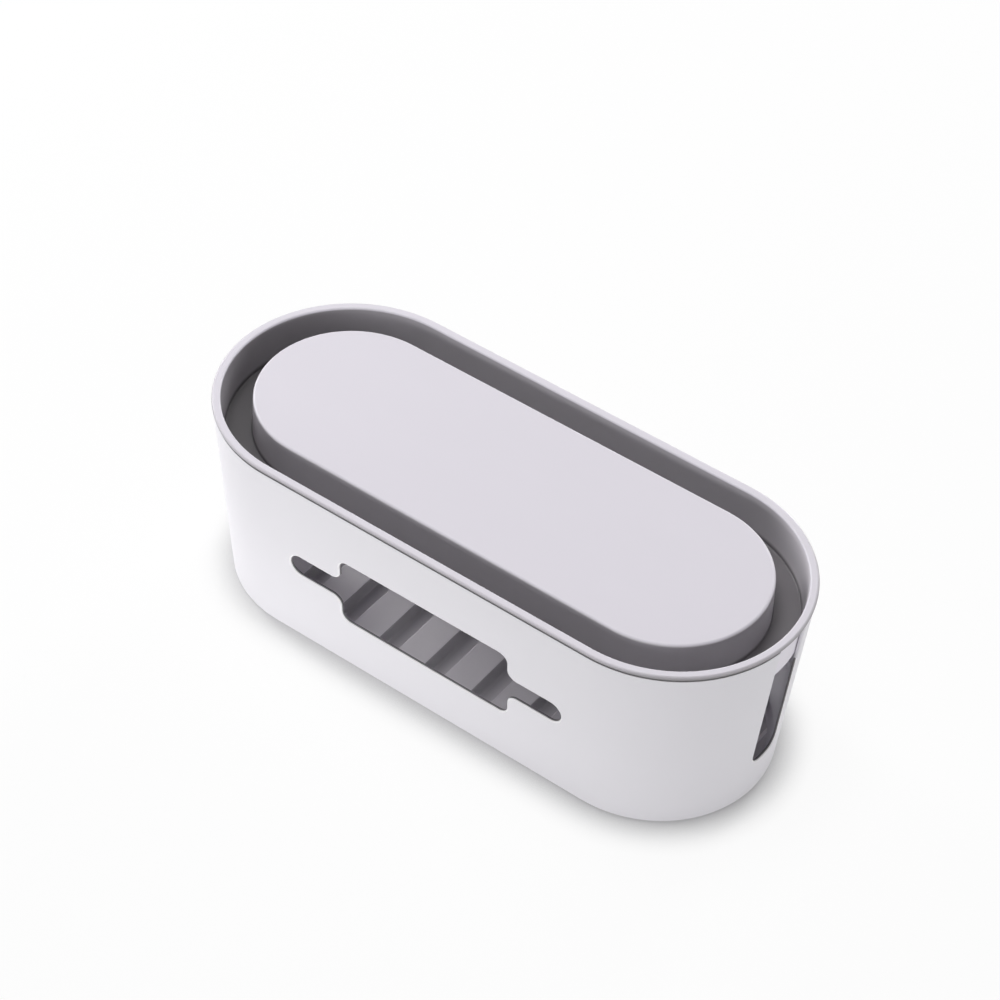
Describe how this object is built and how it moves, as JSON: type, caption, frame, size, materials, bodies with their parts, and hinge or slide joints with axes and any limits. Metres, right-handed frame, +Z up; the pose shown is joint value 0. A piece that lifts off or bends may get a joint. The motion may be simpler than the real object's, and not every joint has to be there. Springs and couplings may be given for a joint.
{
  "type": "cable management box",
  "caption": "Obround desktop box that hides a power strip and its cables, with shaped windows, end notches and a lift-off tray lid with a device channel.",
  "frame": {"origin": "middle of the footprint, on the surface that the feet stand on", "axes": "+X along the length, -Y the front and +Y the back, both with a window, +Z up"},
  "size_m": [0.32, 0.135, 0.11],
  "materials": {
    "tub_plastic": "satin moulded plastic, white with a faint cool cast",
    "lid_plastic": "satin moulded plastic, white with a faint cool cast",
    "foot_rubber": "plain grey rubber"
  },
  "bodies": {
    "tub": {"tub": "tub_plastic", "foot_front_left": "foot_rubber", "foot_front_right": "foot_rubber", "foot_back_left": "foot_rubber", "foot_back_right": "foot_rubber"},
    "lid": {"lid": "lid_plastic"}
  },
  "joints": [
    {"name": "lid_lift", "type": "slide", "parent": "tub", "child": "lid", "axis": [0, 0, 1], "range_m": [0, 0.15]}
  ]
}
